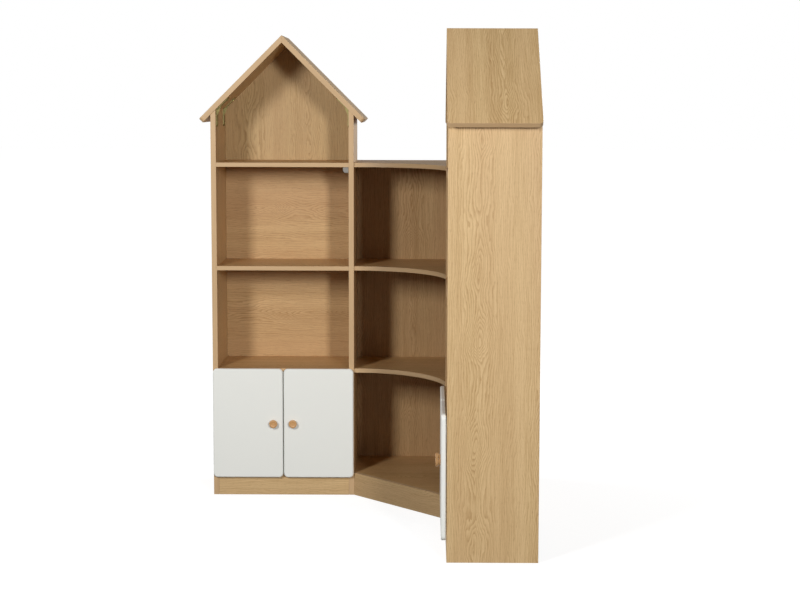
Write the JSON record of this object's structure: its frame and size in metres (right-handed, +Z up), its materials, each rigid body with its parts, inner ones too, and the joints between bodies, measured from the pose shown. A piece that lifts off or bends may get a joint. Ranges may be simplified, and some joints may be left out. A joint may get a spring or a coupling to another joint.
{
  "type": "corner cabinet",
  "caption": "Corner cabinet with a gabled house-shaped tower on each side of curved corner shelves; each tower has open shelves over a cupboard with hinged doors and round knobs.",
  "frame": {"origin": "on the floor, under the middle of the bounding box; the room corner is at +X +Y", "axes": "+Z up; -Y is the front of the left tower and -X the front of the right tower; the walls are the +Y and +X faces"},
  "size_m": [1.14, 1.14, 1.625],
  "materials": {
    "oak_board": "satin oak-grain laminate",
    "oak_back": "satin oak-grain laminate on thin board",
    "white_lacquer": "satin white lacquer on fibreboard",
    "beech": "clear-lacquered turned beech",
    "yellow_zinc": "yellow zinc plating",
    "hinge_steel": "nickel plating",
    "grey_plastic": "moulded, matt"
  },
  "bodies": {
    "cabinet": {"corner_floor_panel": "oak_board", "corner_left_back": "oak_back", "corner_lower_shelf": "oak_board", "corner_middle_shelf": "oak_board", "corner_plinth": "oak_board", "corner_right_back": "oak_back", "corner_top": "oak_board", "hinge_arms": "hinge_steel", "hinge_plates": "hinge_steel", "joining_blocks": "grey_plastic", "left_floor_panel": "oak_board", "left_gable_back": "oak_back", "left_inner_roof_slope": "oak_board", "left_inner_side": "oak_board", "left_lower_back": "oak_back", "left_lower_shelf": "oak_board", "left_middle_back": "oak_back", "left_middle_shelf": "oak_board", "left_outer_roof_slope": "oak_board", "left_outer_side": "oak_board", "left_plinth": "oak_board", "left_top_shelf": "oak_board", "left_upper_back": "oak_back", "right_floor_panel": "oak_board", "right_gable_back": "oak_back", "right_inner_roof_slope": "oak_board", "right_inner_side": "oak_board", "right_lower_back": "oak_back", "right_lower_shelf": "oak_board", "right_middle_back": "oak_back", "right_middle_shelf": "oak_board", "right_outer_roof_slope": "oak_board", "right_outer_side": "oak_board", "right_plinth": "oak_board", "right_top_shelf": "oak_board", "right_upper_back": "oak_back", "roof_brackets": "yellow_zinc"},
    "left_outer_door_leaf": {"left_outer_door": "white_lacquer", "left_outer_hinge_cups": "hinge_steel", "left_outer_hinge_pins": "hinge_steel", "left_outer_knob": "beech"},
    "left_inner_door_leaf": {"left_inner_door": "white_lacquer", "left_inner_hinge_cups": "hinge_steel", "left_inner_hinge_pins": "hinge_steel", "left_inner_knob": "beech"},
    "right_outer_door_leaf": {"right_outer_door": "white_lacquer", "right_outer_hinge_cups": "hinge_steel", "right_outer_hinge_pins": "hinge_steel", "right_outer_knob": "beech"},
    "right_inner_door_leaf": {"right_inner_door": "white_lacquer", "right_inner_hinge_cups": "hinge_steel", "right_inner_hinge_pins": "hinge_steel", "right_inner_knob": "beech"}
  },
  "joints": [
    {"name": "left_outer_door_hinge", "type": "hinge", "parent": "cabinet", "child": "left_outer_door_leaf", "pos_m": [-0.5205, 0.28, 0.261], "axis": [0, 0, -1], "range_deg": [0, 95]},
    {"name": "left_inner_door_hinge", "type": "hinge", "parent": "cabinet", "child": "left_inner_door_leaf", "pos_m": [-0.0395, 0.28, 0.261], "axis": [0, 0, 1], "range_deg": [0, 95]},
    {"name": "right_outer_door_hinge", "type": "hinge", "parent": "cabinet", "child": "right_outer_door_leaf", "pos_m": [0.28, -0.5205, 0.261], "axis": [0, 0, 1], "range_deg": [0, 95]},
    {"name": "right_inner_door_hinge", "type": "hinge", "parent": "cabinet", "child": "right_inner_door_leaf", "pos_m": [0.28, -0.0395, 0.261], "axis": [0, 0, -1], "range_deg": [0, 95]}
  ]
}
